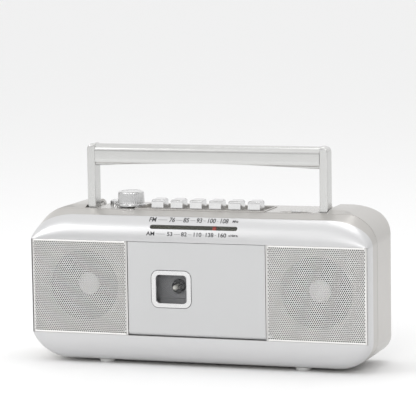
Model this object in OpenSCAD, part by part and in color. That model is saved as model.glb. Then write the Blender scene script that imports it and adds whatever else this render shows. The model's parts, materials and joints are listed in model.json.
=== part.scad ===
// Portable stereo radio cassette recorder with an upright folding handle.
// Frame: X to the right, Y to the back, Z up. The origin is under the middle
// of the body, on the surface that the feet stand on. Millimetres.

/* [Body] */
// Width of the body
body_w = 296; // [270:1:340]
// Depth of the body, front to back
body_d = 78; // [74:1:100]
// Height of the shoulders above the table
shoulder_z = 132; // [128:1:150]
// How far the deck lies below the shoulders
deck_drop = 3; // [2:0.5:4]
// Height of the feet
foot_h = 3; // [2:0.5:6]
// Wall of the moulded cases
wall = 2.2; // [1.8:0.1:3]
// Bottom edge of the grilles and the door
band_lo = 26; // [22:1:30]
// Height of the grilles and the door
face_h = 79; // [76:1:84]

/* [Speakers] */
// Radius of the opening in front of each speaker
speaker_r = 30; // [24:0.5:32]
// Distance of each speaker from the middle
speaker_x = 101; // [98:1:104]
// Thickness of the grille sheet
grille_t = 1.1; // [0.8:0.1:1.6]

/* [Cassette bay] */
// Width of the cassette door
door_w = 119; // [116:1:122]
// Thickness of the door panel
door_t = 2.5; // [2:0.1:3]
// Gap around the door and between case parts
gap = 0.4; // [0.3:0.05:0.8]
// Distance between the two reel spindles
reel_pitch = 42.5; // [42:0.1:43]
// Thickness of the pocket for a cassette
pocket_d = 12.2; // [11.8:0.1:12.6]
// Width of the door window
window_w = 26.7; // [22:0.1:30]
// Height of the door window
window_h = 23.6; // [20:0.1:28]

/* [Keys] */
// Distance from key to key
key_pitch = 16.84; // [15:0.01:17]
// Width of a key
key_w = 10.4; // [8:0.1:12]
// Depth of a key, front to back
key_d = 13; // [11:0.5:14]
// Height of the key tops above the deck
key_rise = 8.4; // [6:0.1:9]
// Radius of the shaft that the keys turn on
key_shaft_r = 2; // [1.5:0.1:2.5]

/* [Knobs] */
// Radius of the tuning knob at its foot
tuning_r = 12; // [10:0.5:12]
// Height of the tuning knob
tuning_h = 12.2; // [9:0.1:14]
// Radius of the volume wheel
volume_r = 7.5; // [6:0.1:8]
// Radius of the control shafts
control_r = 3; // [2.5:0.1:3.5]

/* [Dial] */
// Left end of the dial slot
dial_x0 = -40.5; // [-45:0.5:-35]
// Right end of the dial slot
dial_x1 = 35.5; // [30:0.5:40]
// Height of the dial slot
dial_h = 3.8; // [3:0.1:5]
// Place of the tuning pointer
pointer_x = 15; // [-30:1:30]

/* [Handle] */
// Height of the top of the handle above the table
handle_z = 183; // [178:1:210]
// Outer half width across the handle arms
handle_x = 105; // [103:1:106]
// Thickness of a handle arm
arm_t = 7.1; // [6:0.1:7.5]
// Depth of the arms and the grip, front to back
arm_d = 13; // [11:0.5:13]
// Height of the grip at its ends
grip_h = 19; // [15:0.5:19]
// Radius of the handle pivot pins
pivot_r = 3; // [2.5:0.1:3.5]

/* [Fits] */
// Radial clearance of turning and sliding fits
run = 0.06; // [0.03:0.01:0.1]

/* [Antenna] */
// Length of the folded antenna
antenna_l = 150; // [120:1:155]
// Outer radius of the antenna's largest tube
antenna_r = 2.8; // [2.6:0.1:3]

/* [Hidden] */
$fn = 64;

// Case outline
half_w = body_w / 2;
front_y = -body_d / 2;
back_y = body_d / 2;
seam_y = front_y + 23;
deck_z = shoulder_z - deck_drop;
band_hi = band_lo + face_h;
crease_y = front_y + 11;
crease_z = deck_z - 3.8;
top_corner_x = 38;
low_corner_x = 30;
corner_points = 14;
back_round = 13;
sheet = 0.02;

// Face parts
bay_x = door_w / 2 + gap;
baffle_y = front_y + 5;
baffle_t = 2;
grille_x1 = half_w - 2.6;
speaker_z = band_lo + face_h / 2 + 0.4;

// Deck parts
panel_t = 2.5;
panel_x = 94.8;
panel_y1 = back_y - 6.4;
key_row = 2.5 * key_pitch;
tray_x0 = -61.3;
tray_x1 = key_row + 10.2;
tray_y0 = seam_y + gap;
tray_y1 = tray_y0 + 37;
tray_wall = 1.3;
tray_floor_z = deck_z - 4.5;
key_y0 = tray_y0 + 4.1;
key_x0 = -key_row;
key_pivot_y = key_y0 + 31.5;
key_pivot_z = deck_z - 15;
lever_t = 3;
tuning_at = [-70, seam_y + 17];
volume_at = [-86, seam_y + 31];
slider_at = [78, seam_y + 6];

// Dial, in a frame that leans back with the face of the top band
dial_z = band_hi + 12.3;
dial_y = front_y + 3.1;
dial_lean = 28.6;
rail_y = 7.5;
rail_z = -8.5;
rail_r = 1;

// Door and transport
hinge_y = front_y + 3.4;
hinge_z = band_lo + 3.5;
hinge_r = 1.5;
door_y = front_y + 0.4;
door_back = door_y + door_t;
hinge_round = hinge_y - door_y;
chassis_y = front_y + 20;
chassis_t = 1.6;
reel_z = speaker_z;
window_x = -reel_pitch / 2 - 0.4;
window_rim = 3.9;
capstan_at = [31, reel_z - 22.8];
capstan_r = 1.25;
flywheel_r = 20;
flywheel_y = chassis_y + chassis_t + 2.4;
motor_at = [-reel_pitch / 2 - 10.75, reel_z - 22.8];
motor_y = flywheel_y + 4.6;
pulley_r = 4;
belt_t = 1;
roller_r = 6.4;
head_travel = 5.7;
roller_at = [capstan_at[0], capstan_at[1] - capstan_r - roller_r - head_travel - 0.3];
head_plate_y = chassis_y - 1.4;
pin_r = 1.5;

// Handle
pivot_y = front_y + 35.7;
pivot_z = shoulder_z - 12;
arm_x0 = handle_x - arm_t;
slot_gap = 0.7;
channel_x0 = arm_x0 - slot_gap;
channel_x1 = handle_x + slot_gap;
channel_z = pivot_z - arm_d / 2 - 1;
grip_arch = 3.4;

// Rear parts
cell_x = 78;
cell_z0 = 12;
cell_z1 = 66;
cell_y = back_y - 29.5;
cover_x = 75.6;
cover_z0 = cell_z0 + 3;
cover_z1 = cell_z1 - 1.2;
cover_t = 2;
ledge_y = back_y - 6.2;
back_in = back_y - 1.5;
antenna_at = [118, shoulder_z - 28];
antenna_y = back_y - 3;
ledge_z = antenna_at[1] - 6;
inlet_at = [-110, 60];
socket_at = [112, 60];
screw_at = [[126, 24], [-126, 24], [132, 102], [-132, 102]];
screw_r = 1.6;
screw_head_y = back_y - 21;
foot_r = 7;
foot_at = [[86, seam_y - 4], [-86, seam_y - 4], [86, back_y - 15], [-86, back_y - 15]];

function bend(a, b, c, s) = (1 - s) * (1 - s) * a + 2 * s * (1 - s) * b + s * s * c;
function arc(cx, cz, rx, rz, a0) = [for (i = [0:corner_points])
    [cx + rx * cos(a0 + 90 * i / corner_points), cz + rz * sin(a0 + 90 * i / corner_points)]];
// Section of the case across Y: half width, bottom and top, all moved in by t
function section(w, zb, zt, t) =
    let (rt = max(0.6, zt - t - band_hi + 1), rb = max(0.6, band_lo + 1 - zb - t),
        rx = top_corner_x - t, lx = low_corner_x - t, hw = w - t)
    concat(arc(hw - rx, zt - t - rt, rx, rt, 0), arc(rx - hw, zt - t - rt, rx, rt, 90),
        arc(lx - hw, zb + t + rb, lx, rb, 180), arc(hw - lx, zb + t + rb, lx, rb, 270));
function front_top(s) = bend(band_hi, band_hi + 13, crease_z, s);
function front_low(s) = bend(band_lo, band_lo - 18, foot_h + 0.4, s);
function front_in(s) = bend(front_y, front_y + 0.3, crease_y, s);
function front_wide(s) = half_w - bend(3.5, 0.8, 0.6, s);

// Draws a flat shape in the XZ plane and extends it from y0 to y1
module along_y(y0, y1) {
    translate([0, y1, 0]) rotate([90, 0, 0]) linear_extrude(y1 - y0) children();
}
// Draws a flat shape in the YZ plane and extends it from x0 to x1
module along_x(x0, x1) {
    translate([x0, 0, 0]) rotate([90, 0, 90]) linear_extrude(x1 - x0) children();
}
module block(low, high) { translate(low) cube(high - low); }
module round_rect(w, h, r) {
    square([w - 2 * r, h], center = true);
    square([w, h - 2 * r], center = true);
    for (x = [-1, 1], y = [-1, 1]) translate([x * (w / 2 - r), y * (h / 2 - r)]) circle(r);
}
module rod_y(r, y0, y1) { translate([0, y1, 0]) rotate([90, 0, 0]) cylinder(r = r, h = y1 - y0); }
module rod_x(r, x0, x1) { translate([x0, 0, 0]) rotate([0, 90, 0]) cylinder(r = r, h = x1 - x0); }
module case_slice(y, w, zb, zt, t) { along_y(y, y + sheet) polygon(section(w, zb, zt, t)); }
module sides() { for (m = [0, 1]) mirror([m, 0, 0]) children(); }
module dial_frame() { translate([0, dial_y, dial_z]) rotate([-dial_lean, 0, 0]) children(); }

// Solid outer form of the front case; t moves its skin inwards
module front_form(t, reach) {
    hull() {
        for (i = [0:6]) case_slice(front_in(i / 6) + t, front_wide(i / 6), front_low(i / 6),
            front_top(i / 6), t);
        case_slice(seam_y - sheet + reach, half_w, foot_h, deck_z - 0.3, t);
    }
}
// Points of the rounded rear edge: how far round, then how far in from the side it belongs to
function rear_y(i, t) = back_y - t - (back_round - t) * (1 - sin(15 * i));
function rear_in(i, deep) = deep * (1 - cos(15 * i));
// Side view of the rear case: it swells from the seam up to the shoulders, then rounds off
function rear_side(t, reach) = concat([[seam_y - reach, foot_h + t]],
    [for (i = [0:6]) [rear_y(i, t), foot_h + t + rear_in(i, 11)]],
    [for (i = [6:-1:0]) [rear_y(i, t), shoulder_z - t - rear_in(i, 11)]],
    [[seam_y + 17, shoulder_z - t], [seam_y + 7, shoulder_z - 0.9 - t],
        [seam_y - reach, deck_z - 0.3 - t]]);
function rear_plan(t, reach) = concat([[half_w - t, seam_y - reach]],
    [for (i = [0:6]) [half_w - t - rear_in(i, 14), rear_y(i, t)]],
    [for (i = [6:-1:0]) [rear_in(i, 14) + t - half_w, rear_y(i, t)]], [[t - half_w, seam_y - reach]]);
// Solid outer form of the rear case
module rear_form(t, reach) intersection() {
    along_y(seam_y - reach, back_y) polygon(section(half_w, foot_h, shoulder_z, t));
    along_x(-half_w, half_w) polygon(rear_side(t, reach));
    linear_extrude(shoulder_z + 1) polygon(rear_plan(t, reach));
}

module front_cabinet() color("gainsboro") {
    difference() {
        union() {
            difference() {
                front_form(0, 0);
                front_form(wall, 1);
            }
            block([3.5 - half_w, baffle_y, band_lo - 1.5],
                [half_w - 3.5, baffle_y + baffle_t, band_hi + 1.5]);
            for (p = screw_at) translate([p[0], 0, p[1]]) rod_y(4, baffle_y + baffle_t, -2);
            for (x = [-64, 64], z = [band_lo + 10, band_hi - 9])
                translate([x, 0, z]) rod_y(2.6, baffle_y + 1, chassis_y);
        }
        sides() block([bay_x - 1, front_y - 1, band_lo], [grille_x1 + 0.1, baffle_y, band_hi]);
        block([-bay_x, front_y - 1, band_lo], [bay_x, chassis_y - 6, band_hi]);
        sides() translate([speaker_x, 0, speaker_z]) rod_y(speaker_r, front_y, baffle_y + 3);
        dial_frame() block([dial_x0, -4, -dial_h / 2], [dial_x1, 3.6, dial_h / 2]);
        dial_frame() block([dial_x0 - 0.5, 1.9, -5.4], [dial_x1 + 0.5, 8, dial_h / 2 + 1]);
        dial_frame() block([dial_x0 - 7.4, 3.9, -11.2], [dial_x1 + 7.4, 14, 5.5]);
        for (p = screw_at) translate([p[0], 0, p[1]]) rod_y(screw_r, -20, -1);
        sides() translate([0, hinge_y, hinge_z]) rod_x(hinge_r + 1, bay_x + 2.5, bay_x + 5.8);
    }
    sides() difference() {
        block([bay_x, front_y + grille_t + 0.1, hinge_z - 3.5], [bay_x + 2.5, baffle_y, hinge_z + 3]);
        translate([0, hinge_y, hinge_z]) rod_x(hinge_r + run, bay_x - 1, bay_x + 3);
    }
}

module rear_cabinet() color("lightgray") difference() {
    union() {
        difference() {
            rear_form(0, 0);
            rear_form(wall, 1);
        }
        sides() {
            block([panel_x - 1, seam_y + 2, channel_z - 2], [channel_x1 + 2.4, back_y - 8, deck_z - 0.1]);
            block([panel_x - 1, seam_y + 2, channel_z - 2], [channel_x1 + 2.4, back_in, channel_z + 6]);
        }
        block([-62, ledge_y - 2, ledge_z - 2], [127, ledge_y, deck_z - 0.1]);
        block([-62, ledge_y - 2, ledge_z - 2], [127, back_in, ledge_z + 2]);
        for (x = [-62, 125]) block([x, ledge_y - 2, ledge_z - 2], [x + 2, back_in, shoulder_z - 15]);
        block([9 - half_w, ledge_y - 2, antenna_at[1] - 5.2], [-61, back_in, antenna_at[1] + 5.2]);
        block([3 - half_w, ledge_y - 2, antenna_at[1] - 5.2], [10 - half_w, ledge_y, antenna_at[1] + 5.2]);
        block([-cell_x - 2, cell_y - 2, cell_z0 - 2], [cell_x + 2, back_in, cell_z1 + 2]);
        for (p = screw_at) translate([p[0], 0, p[1]]) rod_y(4.6, -2, back_in);
        translate([inlet_at[0], 0, inlet_at[1]]) rod_y(16, back_y - 5, back_in);
        for (x = [-70, 70], y = [0.5, 16.5]) translate([x, cell_y + y, cell_z1]) cylinder(r = 3, h = 26);
    }
    block([-channel_x1, seam_y - 1, deck_z], [channel_x1, 50, shoulder_z + 10]);
    block([-panel_x - 0.2, seam_y - 1, deck_z - panel_t], [panel_x + 0.2, panel_y1 + 0.2, shoulder_z]);
    block([-panel_x - 0.2, seam_y - 1, channel_z + 3], [panel_x + 0.2, ledge_y - 2, deck_z]);
    sides() block([channel_x0, pivot_y - 8.7, channel_z], [channel_x1, 50, shoulder_z + 10]);
    sides() translate([0, pivot_y, pivot_z]) rod_x(pivot_r + run, panel_x - 1, channel_x1 + 3);
    block([-60, ledge_y, ledge_z], [125, 50, shoulder_z + 10]);
    block([-half_w - 1, ledge_y, antenna_at[1] - 3.2], [-59, 50, antenna_at[1] + 3.2]);
    translate([antenna_at[0], 0, antenna_at[1]]) rod_y(2 + run, ledge_y - 4, ledge_y + 1);
    block([-cell_x, cell_y, cell_z0], [cell_x, back_y - wall, cell_z1]);
    block([-cover_x - gap, back_y - wall - 1, cover_z0 - gap],
        [cover_x + gap, 50, cover_z1 + gap]);
    for (p = screw_at) translate([p[0], 0, p[1]]) {
        rod_y(screw_r + 0.2, -3, back_y);
        rod_y(3.6, screw_head_y, back_y + 1);
    }
    block([inlet_at[0] - 9, back_y - 9, inlet_at[1] - 6], [inlet_at[0] + 9, 50, inlet_at[1] + 6]);
    translate([socket_at[0], 0, socket_at[1]]) rod_y(4.1, back_y - 5, 50);
}

module top_panel() color("silver") difference() {
    block([-panel_x, seam_y + gap / 2, deck_z - panel_t], [panel_x, panel_y1, deck_z]);
    block([tray_x0 - gap / 2, seam_y - 1, deck_z - 5], [tray_x1 + gap / 2, tray_y1 + gap / 2, deck_z + 1]);
    translate([tuning_at[0], tuning_at[1], deck_z - 5]) cylinder(r = control_r + 1, h = 10);
    translate([volume_at[0], volume_at[1], deck_z - 5]) cylinder(r = volume_r + gap, h = 10);
    block([slider_at[0] - 9.4, slider_at[1] - 1.6, deck_z - 5],
        [slider_at[0] + 9.4, slider_at[1] + 1.6, deck_z + 1]);
    translate([slider_at[0], slider_at[1], deck_z - 1]) intersection() {
        translate([0, -26, 0]) cylinder(r = 30, h = 3);
        translate([0, 26, 0]) cylinder(r = 30, h = 3);
    }
}

module key_surround() color("silver") difference() {
    block([tray_x0, tray_y0, tray_floor_z], [tray_x1, tray_y1, deck_z + 0.8]);
    block([tray_x0 + tray_wall, tray_y0 + tray_wall, tray_floor_z + 2],
        [tray_x1 - tray_wall, tray_y1 - tray_wall, deck_z + 2]);
    for (i = [0:5]) translate([key_x0 + i * key_pitch, 0, 0])
        block([-key_w / 2 - 0.6, tray_y0 + tray_wall, tray_floor_z - 1],
            [key_w / 2 + 0.6, key_y0 + key_d + 2, tray_floor_z + 3]);
}

// One key: a cap with a rounded top on a lever that turns on the key shaft
module key(i, shade) color(shade) translate([key_x0 + i * key_pitch, 0, 0]) difference() {
    union() {
        intersection() {
            along_x(-key_w / 2, key_w / 2) polygon(concat([[key_y0, tray_floor_z + 1]],
                [for (s = [0:0.125:1]) bend([key_y0, deck_z + key_rise - 2.4],
                    [key_y0 + 0.2, deck_z + key_rise - 0.4], [key_y0 + 2.6, deck_z + key_rise - 0.2], s)],
                [for (s = [0.125:0.125:1]) bend([key_y0 + 2.6, deck_z + key_rise - 0.2],
                    [key_y0 + key_d / 2, deck_z + key_rise - 1], [key_y0 + key_d - 2, deck_z + key_rise], s)],
                [[key_y0 + key_d, deck_z + key_rise - 1.6], [key_y0 + key_d, tray_floor_z + 1]]));
            along_y(key_y0 - 1, key_y0 + key_d + 1) translate([0, deck_z + key_rise / 2 - 2.6])
                round_rect(key_w, key_rise + 5.2, 1.6);
        }
        along_x(-lever_t / 2, lever_t / 2) polygon([[key_y0 + 2, tray_floor_z + 2],
            [key_y0 + key_d - 2, tray_floor_z + 2], [key_y0 + key_d + 1, tray_floor_z - 3],
            [key_pivot_y, key_pivot_z + 4], [key_pivot_y, key_pivot_z - 4],
            [key_y0 + key_d, tray_floor_z - 10], [key_y0 + 2, tray_floor_z - 6]]);
        translate([0, key_pivot_y, key_pivot_z]) rod_x(4.4, -3.4, 3.4);
    }
    translate([0, key_pivot_y, key_pivot_z]) rod_x(key_shaft_r + run, -5, 5);
}
module key_record() key(0, "silver");
module key_play() key(1, "silver");
module key_rewind() key(2, "silver");
module key_fast_forward() key(3, "silver");
module key_stop_eject() key(4, "silver");
module key_pause() key(5, "silver");

module key_shaft() color("slategray") translate([0, key_pivot_y, key_pivot_z])
    rod_x(key_shaft_r, -key_row - 11.9, key_row + 11.9);

module key_springs() color("dimgray") for (i = [0:5])
    translate([key_x0 + i * key_pitch + 3.8, key_pivot_y, key_pivot_z]) difference() {
        rod_x(key_shaft_r + 1.4, 0, 4.5);
        rod_x(key_shaft_r + 0.3, -1, 6);
    }

module key_bracket() color("lightslategray") {
    block([-key_row - 13.9, chassis_y + chassis_t, key_pivot_z - 11],
        [key_row + 13.9, key_pivot_y + 5, key_pivot_z - 9.8]);
    sides() difference() {
        block([key_row + 9.9, key_pivot_y - 6, key_pivot_z - 10],
            [key_row + 11.1, key_pivot_y + 5, key_pivot_z + 5]);
        translate([0, key_pivot_y, key_pivot_z]) rod_x(key_shaft_r, key_row + 8, key_row + 13);
    }
}

module tuning_knob() color("silver") translate([tuning_at[0], tuning_at[1], deck_z + 1.3])
    difference() {
        union() {
            rotate_extrude() polygon([[0, 0], [tuning_r, 0], [tuning_r, 1.6],
                [tuning_r - 0.6, 2.2], [tuning_r - 1.1, tuning_h - 1.2],
                [tuning_r - 2.1, tuning_h], [0, tuning_h]]);
            for (a = [0:15:345]) rotate(a) translate([tuning_r - 1.2, 0, 2])
                cylinder(r = 0.9, h = tuning_h - 4);
        }
        translate([0, 0, -1]) cylinder(r = control_r, h = tuning_h - 2);
    }

module tuning_drum() color("ivory") translate([tuning_at[0], tuning_at[1], 0]) {
    translate([0, 0, deck_z - 19]) cylinder(r = control_r, h = 17 + tuning_h);
    difference() {
        translate([0, 0, deck_z - 9]) cylinder(r = 13, h = 3.4);
        translate([0, 0, deck_z - 8]) difference() {
            cylinder(r = 14, h = 1.4);
            translate([0, 0, -1]) cylinder(r = 12, h = 4);
        }
    }
}

module tuning_capacitor() color("whitesmoke") difference() {
    translate([tuning_at[0] - 9, tuning_at[1] - 9, deck_z - 24]) cube([18, 18, 13]);
    translate([tuning_at[0], tuning_at[1], deck_z - 19.2]) cylinder(r = control_r + run, h = 20);
}

module tuning_pointer() color("firebrick") dial_frame() translate([pointer_x, 0, 0]) difference() {
    union() {
        block([-1.5, 2.1, -4.8], [1.5, 3.1, dial_h / 2 + 0.6]);
        block([-1.5, 2.1, -4.8], [1.5, rail_y + 1, -3.8]);
        block([-1.5, rail_y - 1, rail_z], [1.5, rail_y + 1, -3.8]);
        translate([0, rail_y, rail_z]) rod_x(2.2, -2.5, 2.5);
    }
    translate([0, rail_y, rail_z]) rod_x(rail_r + run, -4, 4);
}

module dial_plate() color("dimgray") dial_frame() {
    block([dial_x0 - 7, 4.2, -3.2], [dial_x1 + 7, 5.2, 5]);
    translate([0, rail_y, rail_z]) rod_x(rail_r, dial_x0 - 5.5, dial_x1 + 5.5);
    for (x = [dial_x0 - 6.5, dial_x1 + 5])
        block([x, 5, rail_z - 2], [x + 1.5, rail_y + 1.6, -2]);
}

module dial_lens() color([0.25, 0.26, 0.22, 0.6]) dial_frame()
    block([dial_x0, 0.5, -dial_h / 2], [dial_x1, 1.5, dial_h / 2]);

module volume_wheel() color("silver") translate([volume_at[0], volume_at[1], 0]) {
    difference() {
        translate([0, 0, deck_z - 2]) cylinder(r = volume_r, h = 6);
        for (a = [0:12:348]) rotate(a) translate([volume_r + 0.3, 0, deck_z - 3])
            cylinder(r = 0.6, h = 8);
    }
    translate([0, 0, deck_z - 18]) cylinder(r = control_r, h = 17);
}

module volume_control() color("steelblue") difference() {
    translate([volume_at[0] - 6.5, volume_at[1] - 8, deck_z - 21]) cube([13, 16, 10]);
    translate([volume_at[0], volume_at[1], deck_z - 18.2]) cylinder(r = control_r + run, h = 20);
}

module function_slider() color("silver") translate([slider_at[0], slider_at[1], deck_z]) {
    block([-4, -1.3, -6], [4, 1.3, 0.6]);
    for (x = [-3:1.5:3]) translate([x, 0, 0.6]) rotate([90, 0, 0]) cylinder(r = 0.5, h = 2.4, center = true);
}

module function_switch() color("darkslategray") difference() {
    translate([slider_at[0] - 11, slider_at[1] - 3.6, deck_z - 14]) cube([22, 7.2, 9.6]);
    translate([slider_at[0] - 9.6, slider_at[1] - 1.5, deck_z - 7]) cube([19.2, 3, 9]);
}

// A grille sheet that bends back at its outer edge
module grille() color("lightgray") translate([0, 0, band_lo + gap / 2]) linear_extrude(face_h - gap)
    difference() {
        union() {
            translate([bay_x + 0.3, front_y]) square([grille_x1 - 3 - bay_x - 0.3, grille_t]);
            intersection() {
                translate([grille_x1 - 3, front_y + 3]) circle(3);
                translate([grille_x1 - 3, front_y]) square([3, 3]);
            }
            translate([grille_x1 - grille_t, front_y + 3]) square([grille_t, 1.9]);
        }
        translate([grille_x1 - 3, front_y + 3]) circle(3 - grille_t);
    }
module right_grille() grille();
module left_grille() mirror([1, 0, 0]) grille();

module speaker_frame() color("dimgray") translate([speaker_x, baffle_y + baffle_t, speaker_z])
    rotate([-90, 0, 0]) rotate_extrude() polygon([[speaker_r + 0.2, 0], [speaker_r + 5.4, 0],
        [speaker_r + 5.4, 1.6], [speaker_r + 1.8, 1.6], [15, 21], [10, 21], [10, 19.6],
        [14.4, 19.6], [speaker_r + 0.2, 1.2]]);
module right_speaker_frame() speaker_frame();
module left_speaker_frame() mirror([1, 0, 0]) speaker_frame();

// Cone, roll surround and domed dust cap
module speaker_cone() color("gray") translate([speaker_x, baffle_y + baffle_t, speaker_z])
    rotate([-90, 0, 0]) {
        rotate_extrude() polygon([[9, 12.4], [speaker_r - 2.5, 2], [speaker_r - 0.2, 1.2],
            [speaker_r - 0.2, 0.4], [speaker_r - 2.5, 0.4], [9, 11]]);
        difference() {
            translate([0, 0, 20]) sphere(r = 13.2);
            translate([0, 0, 20]) sphere(r = 12.6);
            translate([-20, -20, 11.4]) cube([40, 40, 40]);
        }
    }
module right_speaker_cone() speaker_cone();
module left_speaker_cone() mirror([1, 0, 0]) speaker_cone();

module speaker_magnets() color("darkgray") sides()
    translate([speaker_x, baffle_y + baffle_t + 21, speaker_z]) {
        rod_y(18, 0, 1.5);
        rod_y(20, 1.5, 9);
        rod_y(17, 9, 10.5);
    }

module cassette_door() color("silver") {
    difference() {
        union() {
            block([-door_w / 2, door_y, hinge_z], [door_w / 2, door_back, band_hi - gap]);
            translate([0, hinge_y, hinge_z]) rod_x(hinge_round, -door_w / 2, door_w / 2);
        }
        translate([window_x, 0, reel_z]) along_y(front_y - 1, door_back + 1)
            round_rect(window_w + 4, window_h + 4, 4);
    }
    sides() translate([0, hinge_y, hinge_z]) rod_x(hinge_r, door_w / 2 - 1, bay_x + 5.4);
}

module window_frame() color("whitesmoke") translate([window_x, 0, reel_z]) difference() {
    union() {
        along_y(front_y, door_y) round_rect(window_w + 2 * window_rim, window_h + 2 * window_rim - 0.6, 6);
        along_y(door_y, door_back) round_rect(window_w + 3.8, window_h + 3.8, 3.9);
    }
    along_y(front_y - 1, door_back + 1) round_rect(window_w, window_h, 3);
}

module door_window() color([0.8, 0.8, 0.8, 0.3]) translate([window_x, 0, reel_z])
    along_y(door_back, door_back + 1) round_rect(window_w + 3, window_h + 3, 3);

module cassette_holder() color("dimgray") sides() {
    holder_z = hinge_z + hinge_round + 0.1;
    block([51.2, door_back, holder_z], [52.8, door_back + pocket_d, hinge_z + 68]);
    block([46, door_back + pocket_d, holder_z], [52.8, door_back + pocket_d + 1.2, hinge_z + 68]);
    block([42, door_back, holder_z], [52.8, door_back + pocket_d, holder_z + 1.6]);
}

module door_springs() color("dimgray") sides() translate([0, hinge_y, hinge_z]) difference() {
    rod_x(hinge_r + 0.6, bay_x + 2.6, bay_x + 5);
    rod_x(hinge_r + 0.15, bay_x, bay_x + 6);
}

module transport_chassis() color("darkslategray") {
    difference() {
        block([-67, chassis_y, band_lo + 2], [67, chassis_y + chassis_t, band_hi - 1]);
        sides() translate([reel_pitch / 2, 0, reel_z]) rod_y(pin_r + run, chassis_y - 1, chassis_y + 3);
        translate([capstan_at[0], 0, capstan_at[1]]) rod_y(capstan_r + run, chassis_y - 1, chassis_y + 3);
    }
    block([-38, chassis_y - 3, reel_z - 14.6], [-6, chassis_y, reel_z - 10.4]);
    for (a = [90, 180, 270]) translate([motor_at[0] + 12 * cos(a), 0, motor_at[1] + 12 * sin(a)])
        rod_y(2, chassis_y + chassis_t, motor_y);
}

// A reel spindle: drive disc, three vanes with pointed noses and a rear pulley
module spindle() {
    rod_y(5.75, chassis_y - 3, chassis_y - 0.3);
    rod_y(pin_r, chassis_y - 4, chassis_y + chassis_t + 1.6);
    rod_y(11, chassis_y + chassis_t + 0.4, chassis_y + chassis_t + 1.9);
    rod_y(2.2, chassis_y - 11, chassis_y - 3);
    translate([0, chassis_y - 11, 0]) rotate([90, 0, 0]) cylinder(r1 = 2.2, r2 = 0.4, h = 3.4);
    for (a = [60:120:300]) rotate([0, a, 0])
        block([-0.6, chassis_y - 10.4, 0], [0.6, chassis_y - 3, 4.2]);
}
module supply_spindle() color("black") translate([-reel_pitch / 2, 0, reel_z]) spindle();
module takeup_spindle() color("black") translate([reel_pitch / 2, 0, reel_z]) spindle();

module capstan_flywheel() color("darkgray") translate([capstan_at[0], 0, capstan_at[1]]) {
    rod_y(capstan_r, chassis_y - 12, flywheel_y + 1);
    difference() {
        rod_y(flywheel_r, flywheel_y, flywheel_y + 4);
        difference() {
            rod_y(flywheel_r + 1, flywheel_y + 1.2, flywheel_y + 2.8);
            rod_y(flywheel_r - belt_t, flywheel_y, flywheel_y + 4);
        }
    }
}

module pinch_roller() color("dimgray") translate([roller_at[0], 0, roller_at[1]]) difference() {
    rod_y(roller_r, chassis_y - 10.5, chassis_y - 3);
    rod_y(pin_r + run, chassis_y - 12, chassis_y - 2);
}

module head_plate() color("silver") {
    block([-34, head_plate_y, hinge_z - 13], [39, head_plate_y + 1.1, hinge_z - 1]);
    translate([roller_at[0], 0, roller_at[1]]) rod_y(pin_r, chassis_y - 11.5, head_plate_y + 1.1);
    translate([roller_at[0], 0, roller_at[1]]) rod_y(3, head_plate_y - 1.2, head_plate_y + 1.1);
}

module tape_heads() color("gray") {
    block([-6.5, chassis_y - 12, hinge_z - 9], [6.5, head_plate_y, hinge_z + 1.4]);
    block([-22, chassis_y - 11, hinge_z - 9], [-13, head_plate_y, hinge_z + 1.4]);
}

module drive_motor() color("silver") translate([motor_at[0], 0, motor_at[1]])
    rod_y(16, motor_y, cell_y - 2.3);

module motor_pulley() color("goldenrod") translate([motor_at[0], 0, motor_at[1]]) {
    difference() {
        rod_y(pulley_r + belt_t, flywheel_y + 0.4, flywheel_y + 3.6);
        difference() {
            rod_y(pulley_r + 3, flywheel_y + 1.2, flywheel_y + 2.8);
            rod_y(pulley_r, flywheel_y, flywheel_y + 4);
        }
    }
    rod_y(1, flywheel_y + 3, motor_y - 0.2);
}

// A flat belt in the grooves of the flywheel and the motor pulley
module drive_belt() color("black") {
    span = capstan_at[0] - motor_at[0];
    big = flywheel_r - belt_t + 0.1;
    lean = asin((big - pulley_r - 0.1) / span);
    along_y(flywheel_y + 1.4, flywheel_y + 2.6) translate(motor_at) difference() {
        union() {
            circle(pulley_r + 0.1 + belt_t);
            translate([span, 0]) circle(big + belt_t);
            polygon([for (q = [[0, pulley_r + 0.1 + belt_t, 1], [span, big + belt_t, 1],
                [span, big + belt_t, -1], [0, pulley_r + 0.1 + belt_t, -1]])
                [q[0] - q[1] * sin(lean), q[2] * q[1] * cos(lean)]]);
        }
        circle(pulley_r + 0.1);
        translate([span, 0]) circle(big);
        polygon([for (q = [[0, pulley_r + 0.1, 1], [span, big, 1], [span, big, -1],
            [0, pulley_r + 0.1, -1]]) [q[0] - q[1] * sin(lean), q[2] * q[1] * cos(lean)]]);
    }
}

module circuit_board() color("darkgreen") {
    board_z = cell_z1 + 26;
    block([-88, cell_y - 7.5, board_z], [88, cell_y + 20.5, board_z + 1.6]);
    for (x = [-60:30:60]) block([x - 7, cell_y + 2.5, board_z + 1.6], [x + 7, cell_y + 8.5, board_z + 4.6]);
    for (x = [-75:25:75]) translate([x, cell_y + 14.5, board_z + 1.6]) cylinder(r = 3.5, h = 7);
}

module power_transformer() color("peru") {
    block([-118, back_y - 32, foot_h + wall + 12], [-84, back_y - 6, foot_h + wall + 38]);
    block([-112, back_y - 34, foot_h + wall + 17], [-90, back_y - 4, foot_h + wall + 33]);
}

module ferrite_antenna() color("black") translate([0, front_y + 31, deck_z - 33]) {
    rod_x(4, -48, 52);
    rod_x(5.2, -40, -22);
}

module battery_cover() color("lightgray") {
    block([-cover_x, back_y - cover_t - 0.2, cover_z0 + cover_t / 2],
        [cover_x, back_y - 0.2, cover_z1]);
    translate([0, back_y - 0.2 - cover_t / 2, cover_z0 + cover_t / 2]) rod_x(cover_t / 2, -cover_x, cover_x);
    for (z = [cover_z1 - 12:2:cover_z1 - 4]) translate([0, back_y - 0.3, z]) rod_x(0.3, -12, 12);
}

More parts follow.
